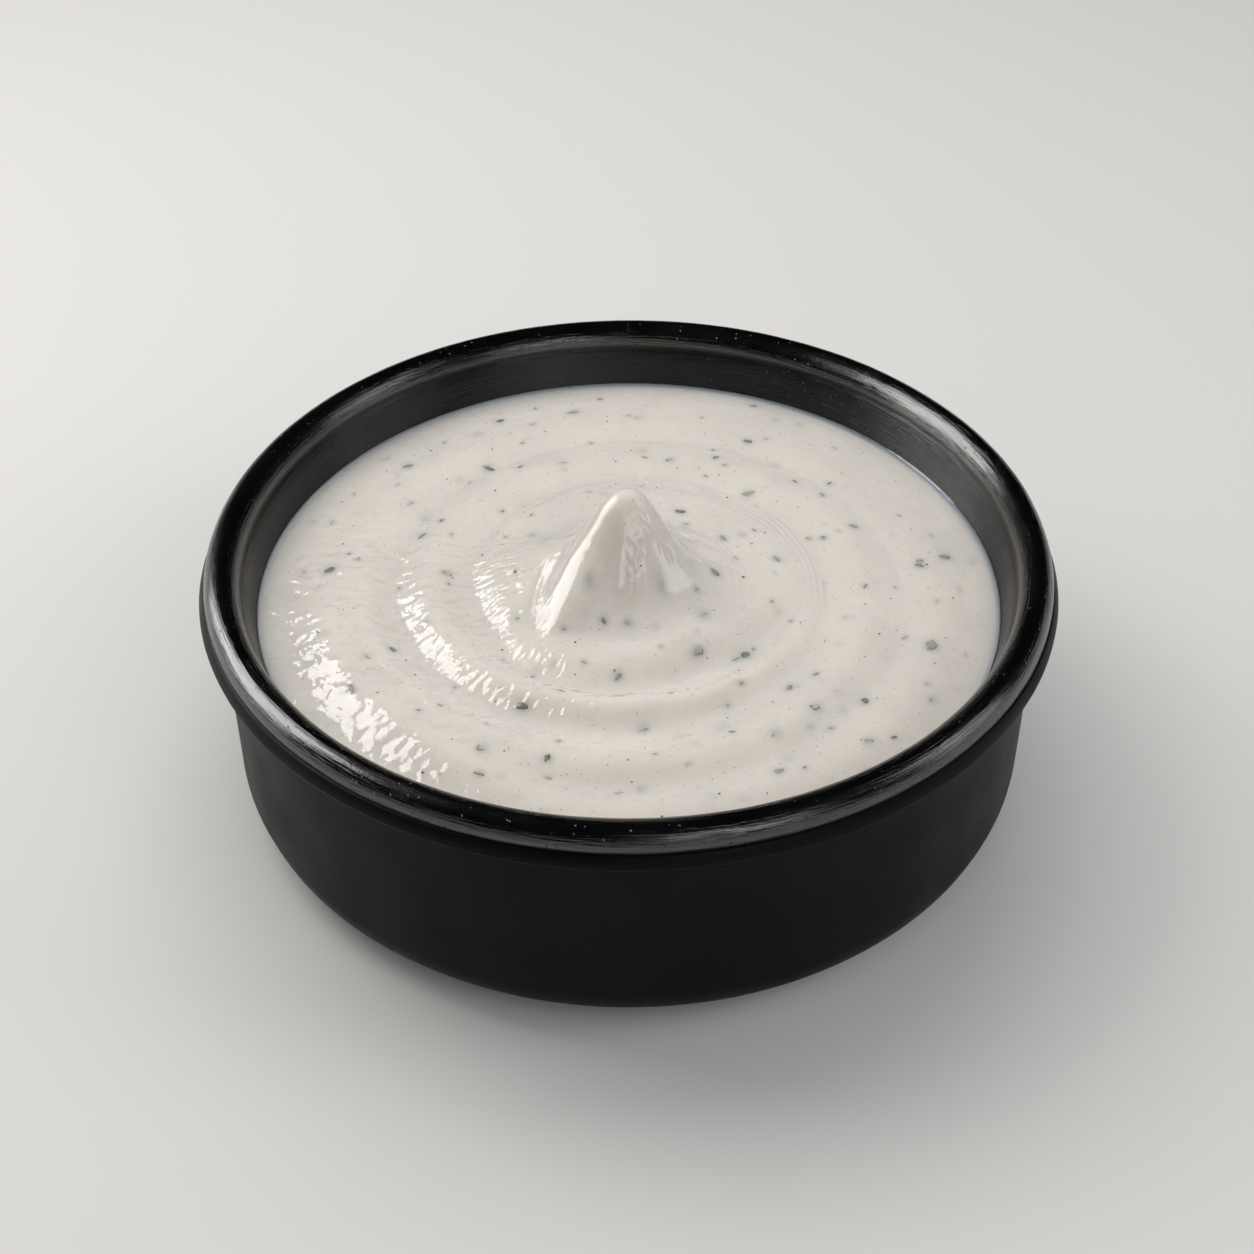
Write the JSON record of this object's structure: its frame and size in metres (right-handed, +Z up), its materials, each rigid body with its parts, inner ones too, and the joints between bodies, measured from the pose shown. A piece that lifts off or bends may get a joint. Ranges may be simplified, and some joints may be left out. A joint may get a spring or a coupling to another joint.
{
  "type": "bowl of ranch dressing",
  "caption": "Round black dip bowl with a rolled lip, filled with creamy ranch dressing swirled to a soft peak and flecked with herbs.",
  "frame": {"origin": "centre of the bowl's flat underside, on the surface it stands on", "axes": "+Z up along the bowl's axis; -Y towards the side that the picture shows as the front"},
  "size_m": [0.1, 0.1, 0.0389],
  "materials": {
    "bowl": "semi-gloss black glaze on stoneware, finely pitted on the lip and satin on the wall",
    "ranch_dressing": "glossy, slightly translucent off-white dressing with dark green herb flakes and fine pepper specks"
  },
  "bodies": {
    "root": {"bowl": "bowl", "ranch_dressing": "ranch_dressing"}
  },
  "joints": []
}
